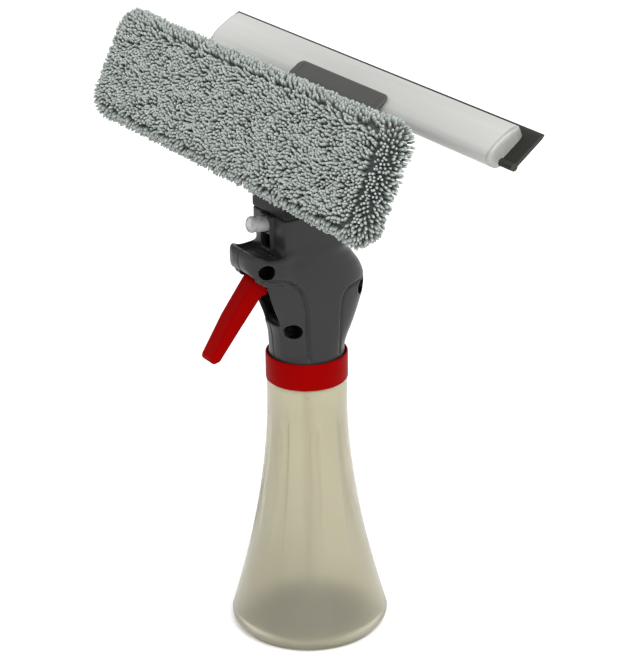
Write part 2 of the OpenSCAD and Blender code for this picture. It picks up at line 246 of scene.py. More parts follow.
def fluted(radius, z, angle):
    """Eight hollow flutes with crisp edges that fade out at both ends, and the mould's pip."""
    flute_half, flute_depth = 7.6, 2.0
    turn = np.degrees(angle) % 45 - 22.5
    hollow = np.clip(1 - (turn / flute_half) ** 2, 0, None) ** 0.55
    fade = np.clip((z - 46) / 30, 0, 1) * np.clip((126 - z) / 8, 0, 1)
    pip_angle, pip_z, pip_width, pip_height = -32, 140, 1.3, 0.9
    away = np.hypot((np.degrees(angle) - 360 - pip_angle) * waist_r / 57.3, z - pip_z)
    pip = pip_height * np.exp(-(away / pip_width) ** 2) * (radius > waist_r - 0.1)
    return radius - flute_depth * hollow * fade + pip


def bottle_profile():
    """Up the outside from the foot to the mouth, and down the inside to the floor."""
    heights = np.linspace(widest_z, shoulder_z - 2, 112)
    edge = np.radians(np.linspace(-80, 0, 7))
    heel = [(foot_r + 4 * math.cos(a), widest_z + 5 * math.sin(a)) for a in edge[:-1]]
    shoulder = [(waist_r - 2 + 2 * math.cos(a), shoulder_z - 2 + 2 * math.sin(a)) for a in -edge[::-1]]
    foot = [(0, 0), (12, 0), (14, 1.2), (foot_r - 6, 1.2), (foot_r - 4.5, 0), (foot_r - 0.6, 0)]
    bead = [(foot_r, 0.3), (foot_r + 0.7, 1.1), (foot_r + 0.5, 1.6)]
    outside = [(skirt_radius(z), z) for z in heights]
    bead_out = neck_r + 1.2
    neck = [(neck_r, shoulder_z), (neck_r, 145.2), (bead_out, 145.4), (bead_out, 146.2), (neck_r, 146.4)]
    mouth = [(neck_r, mouth_z - 0.5), (neck_r - 0.5, mouth_z), (mouth_r, mouth_z), (mouth_r, shoulder_z - 2)]
    inside = [(skirt_radius(z) - wall, z) for z in heights[-5::-3]]
    base = [(foot_r - 1, floor_z + 0.4), (0, floor_z)]
    return foot + bead + heel + outside + shoulder + neck + mouth + inside + base


def frosted_finish():
    """Smoke tinted frosted plastic. Its refractive index is below the real 1.49, and its floor disc is
    painted dark grey, a painted shade for the dim base seen through the wall.
    """
    material = moulded_finish("frosted_plastic", linear(211, 207, 188), linear(217, 213, 195),
                              linear(206, 202, 186), (0.285, 0.33), 1400, 0.00004,
                              IOR=1.3, Transmission_Weight=0.86)
    tree = material.node_tree
    shader = tree.nodes["Principled BSDF"]
    place, parts = tree.nodes.new("ShaderNodeTexCoord"), tree.nodes.new("ShaderNodeSeparateXYZ")
    flat, reach = tree.nodes.new("ShaderNodeVectorMath"), tree.nodes.new("ShaderNodeVectorMath")
    floor_shade_share = tree.nodes.new("ShaderNodeMath")
    flat.operation, reach.operation, floor_shade_share.operation = "MULTIPLY", "LENGTH", "MULTIPLY"
    flat.inputs[1].default_value = (1, 1, 0)
    tree.links.new(place.outputs["Object"], parts.inputs["Vector"])
    tree.links.new(place.outputs["Object"], flat.inputs[0])
    tree.links.new(flat.outputs["Vector"], reach.inputs[0])
    # Painted shade: low down and near the middle, the colour goes to dark grey for the shadowed floor seen
    # through the wall.
    tree.links.new(spread_value(tree, parts.outputs["Z"], 1, 0, 0.0035, 0.006), floor_shade_share.inputs[0])
    tree.links.new(spread_value(tree, reach.outputs["Value"], 1, 0, 0.020, 0.037), floor_shade_share.inputs[1])
    plain = shader.inputs["Base Color"].links[0].from_socket
    painted_floor_shade = blend_colours(tree, floor_shade_share.outputs["Value"], plain, linear(62, 64, 56))
    tree.links.new(painted_floor_shade, shader.inputs["Base Color"])
    return material


make_piece("bottle_shell", *revolve(bottle_profile(), 360, fluted), frosted_finish(),
           "bottle", "bottle_plastic", ["bottle"], sharp=50)


# ---- Collar ------------------------------------------------------------------------------------
# The collar is a red polypropylene nut that clamps the sprayer on the bottle's neck. Its outer
# wall is plain, with a softened lip at both ends.
def soften(points, radius, steps=4):
    """An outline with each corner turned into a short curve."""
    corners = np.asarray(points, float)
    made = []
    for before, corner, after in zip(np.roll(corners, 1, 0), corners, np.roll(corners, -1, 0)):
        into, out = before - corner, after - corner
        reach_in = min(radius, 0.45 * np.linalg.norm(into))
        reach_out = min(radius, 0.45 * np.linalg.norm(out))
        start = corner + into / np.linalg.norm(into) * reach_in
        end = corner + out / np.linalg.norm(out) * reach_out
        for t in np.linspace(0, 1, steps):
            made.append(start * (1 - t) ** 2 + corner * 2 * t * (1 - t) + end * t * t)
    return np.array(made)


collar_r = 21.5
collar_z = (143.3, 158)
red_plastic = moulded_finish("red_plastic", linear(123, 0, 0), linear(129, 0, 0), linear(138, 1, 1),
                             (0.36, 0.44), 1100, 0.00003, Specular_IOR_Level=0.015)
collar_profile = [
    (18.9, collar_z[0]), (collar_r, collar_z[0]), (collar_r, collar_z[1]), (20.4, collar_z[1]),
    (20.4, 154), (14, 154), (14, 152.5), (18.9, 152.5),
]
make_piece("collar_nut", *revolve(soften(collar_profile, 0.9), 160), red_plastic,
           "collar", "red_plastic", ["collar"])


# ---- Works inside the sprayer ------------------------------------------------------------------
# The pump's natural polypropylene mouldings, its steel ball and spring, and its black rubber seals
# sit inside the casing. The dip tube hangs in the bottle and shows faintly through it.
white_plastic = moulded_finish("white_plastic", linear(206, 206, 200), linear(220, 220, 216),
                               linear(230, 230, 228), (0.30, 0.38), 800, 0.00002)
seal_rubber = moulded_finish("seal_rubber", linear(26, 26, 26), linear(36, 36, 35), linear(52, 52, 50),
                             (0.5, 0.62), 1500, 0.00004, Specular_IOR_Level=0.2)
steel = moulded_finish("steel", linear(176, 180, 184), linear(196, 199, 202), linear(222, 224, 226),
                       (0.22, 0.34), 2500, 0.00001, Metallic=1.0)


def finish_nodes(material, *names):
    """Gives CAD nodes that stay as they are their material."""
    for name in names:
        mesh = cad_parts[name].data
        mesh.materials.clear()
        mesh.materials.append(material)


# Far clearer than the real plastic, whose index is 1.49: the tube can't be seen on a white ground.
natural_plastic = moulded_finish("natural_plastic", linear(236, 235, 230), linear(242, 241, 237),
                                 linear(244, 243, 240), (0.3, 0.36), 800, 0.00002,
                                 IOR=1.06, Transmission_Weight=0.95)
finish_nodes(natural_plastic, "dip_tube")
finish_nodes(white_plastic, "tube_adaptor", "pump_body", "piston", "discharge_tube",
             "nozzle_barrel")
finish_nodes(seal_rubber, "neck_gasket", "piston_seal", "outlet_valve")
finish_nodes(steel, "inlet_ball", "trigger_pin")


def make_spring():
    """The return spring, built at rest; the real one shortens towards its back end as the trigger drives the
    piston in.
    """
    turns, sides, wire_r, coil_r, axis_z = 5, 8, 0.5, 4.6, 199
    front_y, back_y, stroke = -7.3, 8.4, 4.5
    t = np.linspace(0, 1, turns * 28 + 1)[:, None]
    around = np.arange(sides) * math.tau / sides
    radius = coil_r + wire_r * np.cos(around)
    turn = math.tau * turns * t
    y = front_y + (back_y - front_y) * t + wire_r * np.sin(around)
    points = np.stack([radius * np.cos(turn), y, axis_z + radius * np.sin(turn)], -1).reshape(-1, 3)
    ring, side = np.meshgrid(range(len(t) - 1), range(sides), indexing="ij")
    after = (side + 1) % sides
    rows = [ring * sides + side, (ring + 1) * sides + side, (ring + 1) * sides + after, ring * sides + after]
    faces = np.stack(rows, -1).reshape(-1, 4).tolist()
    last = (len(t) - 1) * sides
    for k in range(1, sides - 1):
        faces += [[0, k, k + 1], [last, last + k + 1, last + k]]
    mesh = bpy.data.meshes.new("return_coil")
    mesh.from_pydata((points * MM).tolist(), [], faces)
    mesh.shade_smooth()
    mesh.materials.append(steel)
    spring = bpy.data.objects.new("return_coil", mesh)
    scene.collection.objects.link(spring)
    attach(spring, "sprayer")
    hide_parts("return_spring")
    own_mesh(spring)


make_spring()


# ---- Sprayer casing ----------------------------------------------------------------------------
# Two satin grey halves meet on the middle plane and hold the pump between them. The trigger comes
# out of a slot under the nose, and a raised band runs over the top and down each side.
def grid_over(low, high, step):
    """The coordinates of a block of points, each along its own axis."""
    return np.meshgrid(*[np.arange(a, b + step, step) for a, b in zip(low, high)], indexing="ij", sparse=True)


def join(a, b, fillet=0.01):
    """Two solids as one, with a fillet where they meet. A solid is a field of distances, negative inside."""
    near = np.maximum(fillet - np.abs(a - b), 0) / fillet
    return np.minimum(a, b) - near * near * fillet / 4


def common(a, b, fillet=0.01):
    """What two solids share, with the edge rounded."""
    return -join(-a, -b, fillet)


def cut(a, b, fillet=0.01):
    """The first solid without the second."""
    return common(a, -b, fillet)


def outline_distance(points, u, v):
    """Distance to a closed outline in a plane."""
    corners = np.asarray(points, float)
    nearest = np.full(np.broadcast(u, v).shape, np.inf)
    inside = np.zeros(nearest.shape, bool)
    for (au, av), (bu, bv) in zip(corners, np.roll(corners, -1, 0)):
        eu, ev = bu - au, bv - av
        t = np.clip(((u - au) * eu + (v - av) * ev) / (eu * eu + ev * ev), 0, 1)
        nearest = np.minimum(nearest, (u - au - eu * t) ** 2 + (v - av - ev * t) ** 2)
        if ev:
            inside ^= ((av > v) != (bv > v)) & (u < eu * (v - av) / ev + au)
    return np.where(inside, -1, 1) * np.sqrt(nearest)


def block(x, y, z, low, high, radius=0.0):
    """Distance to a box whose edges are rounded."""
    gaps = [np.abs(c - (a + b) / 2) - (b - a) / 2 + radius for c, a, b in zip((x, y, z), low, high)]
    outside = np.sqrt(sum(np.maximum(g, 0) ** 2 for g in gaps))
    return outside + np.minimum(np.maximum(np.maximum(gaps[0], gaps[1]), gaps[2]), 0) - radius


def rod(u, v, along, radius, start, end):
    """Distance to a rod of a radius about the line where u and v are nought."""
    return np.maximum(np.hypot(u, v) - radius, np.maximum(start - along, along - end))


def skin(field, low, step):
    """Points and quads on the surface of a solid, one point in each cell that the surface crosses."""
    cells = np.array(field.shape) - 1
    total, count, quads = np.zeros((3, cells.prod())), np.zeros(cells.prod()), []
    for axis in range(3):
        other = [a for a in range(3) if a != axis]
        first = field[tuple(slice(0, -1) if a == axis else slice(None) for a in range(3))]
        second = field[tuple(slice(1, None) if a == axis else slice(None) for a in range(3))]
        edge = np.argwhere((first < 0) != (second < 0))
        inner = np.all((edge[:, other] > 0) & (edge[:, other] < cells[other]), axis=1)
        edge = edge[inner]
        start, end = first[tuple(edge.T)], second[tuple(edge.T)]
        crossing = edge.astype(float)
        crossing[:, axis] += start / (start - end)
        around = []
        for shift in ((0, 0), (1, 0), (1, 1), (0, 1)):
            cell = edge.copy()
            cell[:, other] -= shift
            flat = np.ravel_multi_index(tuple(cell.T), cells)
            around.append(flat)
            count += np.bincount(flat, minlength=count.size)
            for a in range(3):
                total[a] += np.bincount(flat, weights=crossing[:, a], minlength=count.size)
        quad = np.stack(around, -1)
        turn = (start < 0) != (axis == 1)
        quads.append(np.where(turn[:, None], quad, quad[:, ::-1]))
    used = count > 0
    number = np.cumsum(used) - 1
    points = (total[:, used] / count[used]).T * step + np.asarray(low)
    return points, number[np.concatenate(quads)]


def relax(points, quads, rounds=2):
    """Evens out the points so that broad faces shade smoothly."""
    links = np.concatenate([quads[:, [0, 1]], quads[:, [1, 2]], quads[:, [2, 3]], quads[:, [3, 0]]])
    shares = np.bincount(links.ravel(), minlength=len(points))
    for _ in range(rounds):
        pulled = np.stack([
            np.bincount(links[:, 0], points[links[:, 1], a], len(points))
            + np.bincount(links[:, 1], points[links[:, 0], a], len(points))
            for a in range(3)
        ], -1) / shares[:, None]
        points = points * 0.5 + pulled * 0.5
    return points


def smooth_through(knots, values, at):
    """A smooth curve through values at the knots, read at other places."""
    knots, values = np.asarray(knots, float), np.asarray(values, float)
    slopes = np.gradient(values, knots)
    span = np.clip(np.searchsorted(knots, at) - 1, 0, len(knots) - 2)
    width = knots[span + 1] - knots[span]
    t = np.clip((at - knots[span]) / width, 0, 1)
    start = (1 + 2 * t) * (1 - t) ** 2 * values[span] + t * (1 - t) ** 2 * width * slopes[span]
    end = t * t * (3 - 2 * t) * values[span + 1] + t * t * (t - 1) * width * slopes[span + 1]
    return start + end


def curve_through(points, steps=6):
    """An open line of points made smooth."""
    points = np.asarray(points, float)
    knots = np.arange(len(points))
    at = np.linspace(0, len(points) - 1, (len(points) - 1) * steps + 1)
    return np.stack([smooth_through(knots, points[:, k], at) for k in range(2)], -1)


# Rings of the casing: height, front, back, half width, roundness
casing_rings = np.array([
    [154.4, -19.6, 19.6, 19.6, 2.0], [158.5, -19.9, 19.9, 19.9, 2.0], [165, -20.2, 22.0, 19.2, 2.1],
    [172, -20.8, 25.8, 18.5, 2.2], [180, -23.0, 29.4, 18.0, 2.3], [188, -26.0, 31.8, 17.8, 2.4],
    [197, -28.8, 32.0, 17.6, 2.5], [204, -30.6, 29.2, 17.5, 2.6], [210, -29.6, 24.8, 17.3, 2.7],
    [216, -25.6, 20.4, 17.0, 3.0], [221, -22.3, 17.4, 16.4, 5.5], [229, -22.1, 14.2, 16.1, 12],
    [237, -22.0, 12.0, 16.0, 14],
])
casing_wall = 1.9
neck_top_z, spigot_top_z = 237, 254
pivot_y, pivot_z = -24, 209.5
pin_bore, screw_bore = 1.85, 1.6
trigger_half = 6.5
nozzle_y, nozzle_z, nozzle_tilt = -21, 231.6, math.radians(9)
vent_half, vent_y = 4.1, -23.8  # the vent under the nozzle, and the face it opens on
screw_sites = [(-32, 212.2, 10.5), (-15.3, 175.4, 9.5), (27, 190.5, 6)]  # Y, Z and the depth of the seat


def nozzle_place(y, z):
    """A point of the side view as distance along the nozzle's line, forwards, and across it."""
    forward = -(y - nozzle_y) * math.cos(nozzle_tilt) + (z - nozzle_z) * math.sin(nozzle_tilt)
    across = (y - nozzle_y) * math.sin(nozzle_tilt) + (z - nozzle_z) * math.cos(nozzle_tilt)
    return forward, across


def side_relief(y, z):
    """How far the sides lie under the raised band: a step down, with a fine groove at its foot."""
    front_line = curve_through([
        (-60, 209), (-30, 207.6), (-20.5, 205.2), (-13.4, 200.2), (-9.8, 191.5), (-8.3, 177), (-8.6, 150),
    ])
    back_line = curve_through([(8.2, 150), (9.8, 178), (11.3, 189.6), (15.6, 194.6), (25, 196), (60, 199)])
    band = np.concatenate([front_line, back_line, [(60, 300), (-60, 300)]])
    step_down, step_width, groove_depth, groove_width = 0.75, 0.9, 0.9, 0.8
    away = outline_distance(band, y, z)
    t = np.clip(0.5 + away / step_width, 0, 1)
    groove = groove_depth * np.exp(-((away - 0.5 * step_width) / groove_width) ** 2)
    return step_down * t * t * (3 - 2 * t) + groove


def casing_outside(x, y, z, step):
    """The outer form of both halves together."""
    rings = [smooth_through(casing_rings[:, 0], casing_rings[:, k], z) for k in range(1, 5)]
    front, back, half, roundness = rings
    deep = np.abs((y - (front + back) / 2) / ((back - front) / 2))
    shape = (np.abs(x / half) ** roundness + deep ** roundness) ** (1 / roundness) - 1
    form = shape / np.sqrt(sum(g * g for g in np.gradient(shape, step)))
    form = common(form, np.abs(z - (154.4 + neck_top_z) / 2) - (neck_top_z - 154.4) / 2, 0.8)
    side = curve_through([
        (-12, 203), (-31.5, 203.2), (-36, 207.2), (-39.2, 212), (-39.9, 216.2), (-39.2, 219.2),
        (-37.2, 220.7), (-34.8, 220.3), (-31.5, 218.7), (-28, 218.1), (-22, 218.3), (-12, 219),
    ])
    plan = np.array([(-40.5, 5), (-39, 9.6), (-36.5, 12.8), (-33, 15.2), (-28, 16.3), (-22, 16.6), (-12, 13)])
    plan_half = smooth_through(plan[:, 0], plan[:, 1], y)
    nose = common(outline_distance(side, y, z), np.abs(x) - plan_half, 2.2)
    form = join(form, nose, 3.2)
    bed = [(-38, 222.3), (-35.6, 220), (-32.4, 217.2), (-29, 215.6), (-25, 215.2), (-21, 215.4)]
    hollow = np.concatenate([curve_through(bed), [(-21, 240), (-38, 240)]])
    trough = common(outline_distance(hollow, y, z), np.abs(x) - plan_half + 2.2, 1.6)
    form = cut(form, common(trough, y + 22.4), 0.7)
    boss = block(x, y, z, (-vent_half - 1.2, vent_y, 217), (vent_half + 1.2, -17, neck_top_z), 0.6)
    form = join(form, boss, 0.8)
    form = form + side_relief(y, z) * np.clip((z - 158) / 3, 0, 1) * np.clip((np.abs(x) - 6) / 3, 0, 1)
    spigot = block(x, y, z, (-12.8, -17.5, 230), (12.8, 7.5, spigot_top_z), 1.2)
    return join(form, spigot)


def casing_holes(x, y, z):
    """Everything cut through the casing: trigger slot, pin, screws, nozzle and the vent under it."""
    holes = block(x, y, z, (-trigger_half - 0.9, -46, 178), (trigger_half + 0.9, -14, 209.8), 1.2)
    holes = join(holes, rod(y - pivot_y, z - pivot_z, x, pin_bore, -9.6, 9.6))
    for site_y, site_z, seat in screw_sites:
        holes = join(holes, rod(y - site_y, z - site_z, x, screw_bore, 2 - seat, 25))
        holes = join(holes, rod(y - site_y, z - site_z, x, 3.8, seat, 25))
    forward, across = nozzle_place(y, z)
    holes = join(holes, rod(x, across, forward, 4.3, -8, 20))
    holes = join(holes, block(x, y, z, (-vent_half, -28, 219.4), (vent_half, -16.8, 227), 0.6))
    return join(holes, rod(x, z - 246, y, screw_bore, 0, 12))


def blacken_wells(mesh):
    """Gives the walls of the screw wells a black material, in place of the shade of their depth."""
    centres = np.array([face.center for face in mesh.polygons]) / MM
    in_well = np.zeros(len(centres), bool)
    for site_y, site_z, seat in screw_sites:
        near = np.hypot(centres[:, 1] - site_y, centres[:, 2] - site_z) < 3.95
        in_well |= near & (centres[:, 0] > seat - 1)
    mesh.materials.append(well_black)
    mesh.polygons.foreach_set("material_index", in_well.astype(int))


def casing_half(side, name, replaced):
    """One half of the casing, on the side of X that is 1 or -1."""
    step = 0.5
    low = np.array([-1.5 if side > 0 else -21.5, -43.5, 152.5])
    high = np.array([21.5 if side > 0 else 1.5, 34, 256])
    x, y, z = grid_over(low, high, step)
    outside = casing_outside(x, y, z, step)
    inside = outside + casing_wall
    inside = join(inside, block(x, y, z, (-11.6, -11.6, 150), (11.6, 11.6, 160)))
    ring = np.maximum(np.abs(z - 157) - 0.9, np.maximum(np.hypot(x, y) - 18.5, 12.2 - np.hypot(x, y)))
    form = join(cut(outside, inside), ring)
    for site_y, site_z, seat in screw_sites:
        post = rod(y - site_y, z - site_z, x, 3.4, -25, seat)
        post = join(post, rod(y - site_y, z - site_z, x, 5.2, seat - 1.6, 25))
        form = join(form, common(post, outside), 0.6)
    pin_boss = np.maximum(np.hypot(y - pivot_y, z - pivot_z) - 3.8, trigger_half + 0.9 - np.abs(x))
    form = join(form, common(pin_boss, outside), 0.6)
    form = cut(form, casing_holes(x, y, z), 0.35)
    form = common(form, 0.04 - side * x, 0.12)
    points, quads = skin(form, low, step)
    piece = make_piece(name, relax(points, quads, 1), quads, grey_plastic, "sprayer", "grey_plastic",
                       [replaced], 60)
    blacken_wells(piece.data)


grey_plastic = moulded_finish("grey_plastic", linear(39, 39, 39), linear(43, 43, 43), linear(58, 58, 58),
                              (0.34, 0.40), 1300, 0.00003, Specular_IOR_Level=0.2)
well_black = moulded_finish("well_black", linear(4, 4, 4), linear(7, 7, 7), linear(14, 14, 14),
                            (0.5, 0.6), 1300, 0.00003, Specular_IOR_Level=0.05)
casing_half(1, "casing_right", "shell_right")
casing_half(-1, "casing_left", "shell_left")


# ---- Trigger -----------------------------------------------------------------------------------
# A solid red moulding that swings on a steel pin and pushes the piston. It tapers to a rounded tip,
# and its edges are softened for the fingers.
def make_trigger():
    """The trigger, from its side outline and its width. Its boss bites 0.47 mm into the casing's roof."""
    step = 0.42
    low, high = (-8.5, -62, 163), (8.5, -17.5, 216)
    x, y, z = grid_over(low, high, step)
    outline = [
        (-28, 211), (-34.2, 204.6), (-47.4, 187.3), (-59.4, 168.4), (-59.7, 166.5), (-58.4, 165.1),
        (-54.8, 165.9), (-42.2, 181.2), (-29.8, 195.8), (-26, 196.4), (-25.9, 202), (-20.6, 207.2),
    ]
    form = common(outline_distance(outline, y, z), np.abs(x) - trigger_half, 2.6)
    form = join(form, common(np.hypot(y - pivot_y, z - pivot_z) - 4.3, np.abs(x) - trigger_half, 0.6))
    form = cut(form, rod(y - pivot_y, z - pivot_z, x, pin_bore, -20, 20), 0.3)
    points, quads = skin(form, low, step)
    make_piece("trigger_lever", relax(points, quads), quads, red_plastic, "trigger", "red_plastic",
               ["trigger"], 60)


make_trigger()


# ---- Nozzle ------------------------------------------------------------------------------------
# A clear moulded tip pressed on the barrel, with a ring round its mouth and a fine spray hole.
clear_plastic = moulded_finish("clear_plastic", linear(214, 215, 215), linear(224, 225, 225),
                               linear(232, 232, 232), (0.14, 0.22), 900, 0.00002,
                               IOR=1.46, Transmission_Weight=0.6)
nozzle_profile = [
    (2.5, -4), (4.1, -4), (4.1, -0.5), (3.9, 0.2), (4.0, 7), (4.0, 9.4), (4.25, 9.8), (4.25, 11.4),
    (3.9, 12), (3, 12), (2.8, 8.2), (0.4, 8.2), (0.4, 7.2), (2.5, 7.2),
]
nozzle_points, nozzle_faces = revolve(soften(nozzle_profile, 0.4, 3), 72)
forwards = Vector((0, -math.cos(nozzle_tilt), math.sin(nozzle_tilt)))
nozzle_turn = np.array(forwards.to_track_quat("Z", "X").to_matrix())
nozzle_points = nozzle_points @ nozzle_turn.T + (0, nozzle_y, nozzle_z)
make_piece("nozzle_tip", nozzle_points, nozzle_faces, clear_plastic, "sprayer", "clear_plastic", ["nozzle"])


# ---- Screws ------------------------------------------------------------------------------------
# Steel screws with a domed head and a cross recess. Three painted near black, a painted shade for the depth
# of their wells, close the casing, one holds the head on its spigot, two hold the cover and two the pad's
# holder.
def screw_form(length, head_r):
    """One screw that points along +Z with its head on top, its seat at nought."""
    step = 0.17
    low, high = (-head_r - 0.4, -head_r - 0.4, -length - 0.4), (head_r + 0.4, head_r + 0.4, 2.6)
    x, y, z = grid_over(low, high, step)
    pitch, depth = 1.1, 0.22
    turns = (z / pitch - np.arctan2(y, x) / math.tau) % 1
    thread = np.hypot(x, y) - 1.5 + depth * 2 * np.abs(turns - 0.5)
    shank = np.maximum(thread, np.maximum(-length - z, z - 0.2))
    dome = np.sqrt(x * x + y * y + (z + 2.6) ** 2) - 4.5
    head = common(common(np.hypot(x, y) - head_r, dome, 0.4), -z, 0.2)
    for a, b in ((1.7, 0.4), (0.4, 1.7)):
        head = cut(head, block(x, y, z, (-a, -b, 0.9), (a, b, 4)), 0.2)
    return skin(join(shank, head), low, step)


def make_screws(name, places, out, length, head_r, replaced, material, slot):
    """Screws of one size whose seats are at places, with their heads facing out."""
    points, quads = screw_form(length, head_r)
    turn = np.array(Vector(out).to_track_quat("Z", "Y").to_matrix())
    every_point = np.concatenate([points @ turn.T + place for place in places])
    every_quad = np.concatenate([quads + len(points) * k for k in range(len(places))])
    make_piece(name, every_point, every_quad, material, "sprayer", slot, [replaced])


pad_lean = math.radians(25)
pad_y, pad_z = -43, 290
pad_out = np.array([0, math.cos(pad_lean), -math.sin(pad_lean)])  # from the pad's face to its back
pad_up = np.array([0, math.sin(pad_lean), math.cos(pad_lean)])  # up the pad's slope
pad_middle = np.array([0, pad_y, pad_z])
holder_screw_places = [pad_middle + (x, 0, 0) + 17.5 * pad_out for x in (-22, 22)]
casing_screw_places = [(seat + 0.1, y, z) for y, z, seat in screw_sites]
cover_screw_places = [(x, 2, 293.1) for x in (-10, 10)]
# Near black for the casing screws: painted shade standing in for the depth of their wells.
black_steel = moulded_finish("black_steel", linear(2, 2, 2), linear(4, 4, 4), linear(10, 10, 10),
                             (0.5, 0.6), 2500, 0.00001, Specular_IOR_Level=0.03)
make_screws("casing_screws", casing_screw_places, (1, 0, 0), 10, 3.2, "shell_screws",
            black_steel, "black_steel")
make_screws("head_fixing_screw", [(0, 11.9, 246)], (0, 1, 0), 8, 3, "head_screw", steel, "steel")
make_screws("cover_fixing_screws", cover_screw_places, (0, 0, 1), 10, 2.9, "cover_screws", steel, "steel")
make_screws("holder_fixing_screws", holder_screw_places, pad_out, 6.3, 3, "holder_screws", steel, "steel")


# ---- Head bracket ------------------------------------------------------------------------------
# One black moulding joins everything above the sprayer: a socket over the spigot, an arm to the
# pad's holder in front, and a jaw that grips the blade's bar behind.
black_plastic = moulded_finish("black_plastic", linear(20, 20, 20), linear(24, 24, 24),
                               linear(36, 36, 36), (0.40, 0.5), 1200, 0.00004, Specular_IOR_Level=0.12)
blade_slope = math.radians(37)
blade_y, blade_z = 26.3, 288.3


def blade_place(y, z):
    """A point of the side view as distance along the blade's slope and out from its face."""
    along = (y - blade_y) * math.cos(blade_slope) + (z - blade_z) * math.sin(blade_slope)
    out = -(y - blade_y) * math.sin(blade_slope) + (z - blade_z) * math.cos(blade_slope)
    return along, out


def pad_place(y, z):
    """A point of the side view as distance behind the pad's middle plane and up its slope."""
    behind = (y - pad_y) * pad_out[1] + (z - pad_z) * pad_out[2]
    up = (y - pad_y) * pad_up[1] + (z - pad_z) * pad_up[2]
    return behind, up


def make_bracket():
    """The bracket: its socket, web, pad plate and jaw, with room for the spigot, bar and screws."""
    step = 0.6
    low, high = (-39.5, -37, 236.2), (39.5, 34, 302)
    x, y, z = grid_over(low, high, step)
    along, out = blade_place(y, z)
    behind, up = pad_place(y, z)
    socket = common(block(x, y, 0, (-16, -21.9, -50), (16, 11.8, 50), 1.6), np.abs(z - 249.1) - 11.9, 0.8)
    web = [
        (-21.9, 252), (11.8, 252), (22.5, 278.5), (13.6, 289.4), (12, 291), (-14, 291), (-24.6, 291.6),
        (-34.4, 270.5),
    ]
    form = join(socket, common(outline_distance(web, y, z), np.abs(x) - 16, 2), 1.5)
    form = join(form, block(x, behind, up, (-30, 14.2, -15), (30, 17.4, 16), 1.0), 2)
    jaw = [(-9, -6), (9, -6), (9, -2.7), (-3.2, -2.7), (-4.3, 1), (-4.3, 8.6), (-9, 8.6)]
    form = join(form, common(outline_distance(jaw, along, out), np.abs(x) - 38, 0.8), 2)
    bar_room = outline_distance([(-3.2, -2.7), (30, -2.7), (30, 12), (-4.3, 12), (-4.3, 1)], along, out)
    form = cut(form, common(bar_room, np.abs(x) - 60))
    form = cut(form, block(x, y, z, (-13, -17.7, 230), (13, 7.7, 254.4), 0.6), 0.3)
    form = cut(form, rod(x, z - 246, y, screw_bore, 0, 14))
    for place in (-10, 10):
        form = cut(form, rod(x - place, y - 2, z, screw_bore, 280, 300))
    for place in (-22, 22):
        form = cut(form, rod(x - place, up, behind, screw_bore, 12, 22))
    points, quads = skin(form, low, step)
    make_piece("head_arm", relax(points, quads), quads, black_plastic, "sprayer", "black_plastic",
               ["head_bracket"], 60)


make_bracket()


# ---- Blade bar ---------------------------------------------------------------------------------
# The bar is an aluminium extrusion with a satin silver finish, open along its front for the rubber
# and closed at both ends by a domed cap of the same section.
def lines_group():
    """Fine lines drawn along X by the extrusion die."""
    tree = bpy.data.node_groups.new("drawn_lines", "ShaderNodeTree")
    tree.interface.new_socket("Fineness", in_out="INPUT", socket_type="NodeSocketFloat").default_value = 1500
    tree.interface.new_socket("Line", in_out="OUTPUT", socket_type="NodeSocketFloat")
    given, put_out = tree.nodes.new("NodeGroupInput"), tree.nodes.new("NodeGroupOutput")
    place, stretch = tree.nodes.new("ShaderNodeTexCoord"), tree.nodes.new("ShaderNodeMapping")
    stretch.inputs["Scale"].default_value = (0.012, 1, 1)
    noise = tree.nodes.new("ShaderNodeTexNoise")
    tree.links.new(place.outputs["Object"], stretch.inputs["Vector"])
    tree.links.new(stretch.outputs["Vector"], noise.inputs["Vector"])
    tree.links.new(given.outputs["Fineness"], noise.inputs["Scale"])
    tree.links.new(noise.outputs["Fac"], put_out.inputs["Line"])
    return tree


drawn_lines = lines_group()


def silver_finish(name, dark, light):
    """Satin anodised aluminium with faint drawn lines, and a painted highlight along its edges and ridges."""
    material = bpy.data.materials.new(name)
    material.use_nodes = True
    tree = material.node_tree
    shader = tree.nodes["Principled BSDF"]
    shader.inputs["Metallic"].default_value = 0.3
    shader.inputs["Specular IOR Level"].default_value = 0.3
    lines, marks = tree.nodes.new("ShaderNodeGroup"), tree.nodes.new("ShaderNodeGroup")
    lines.node_tree, marks.node_tree = drawn_lines, moulding_marks
    tone = blend_colours(tree, spread_value(tree, lines.outputs["Line"], 0, 1), dark, light)
    # Painted highlight: sharp edges and ridges are mixed to a lighter silver.
    tone = blend_colours(tree, marks.outputs["Edge"], tone, linear(190, 191, 188))
    tree.links.new(tone, shader.inputs["Base Color"])
    tree.links.new(spread_value(tree, lines.outputs["Line"], 0.46, 0.56), shader.inputs["Roughness"])
    raise_height(tree, lines.outputs["Line"], 0.00001)
    return material


def along_blade(x, outline):
    """Points of a section of the blade, at a distance along it."""
    outline = np.asarray(outline, float)
    y = blade_y + outline[:, 0] * math.cos(blade_slope) - outline[:, 1] * math.sin(blade_slope)
    z = blade_z + outline[:, 0] * math.sin(blade_slope) + outline[:, 1] * math.cos(blade_slope)
    return np.stack([np.full(len(outline), float(x)), y, z], -1)


def loft(sections):
    """Points and faces of a solid through sections with the same number of points, closed at its ends."""
    n = len(sections[0])
    faces = []
    for i in range(len(sections) - 1):
        for k in range(n):
            faces.append([i * n + k, i * n + (k + 1) % n, (i + 1) * n + (k + 1) % n, (i + 1) * n + k])
    last = (len(sections) - 1) * n
    return np.concatenate(sections), faces, [list(range(n)), [last + k for k in range(n)]]


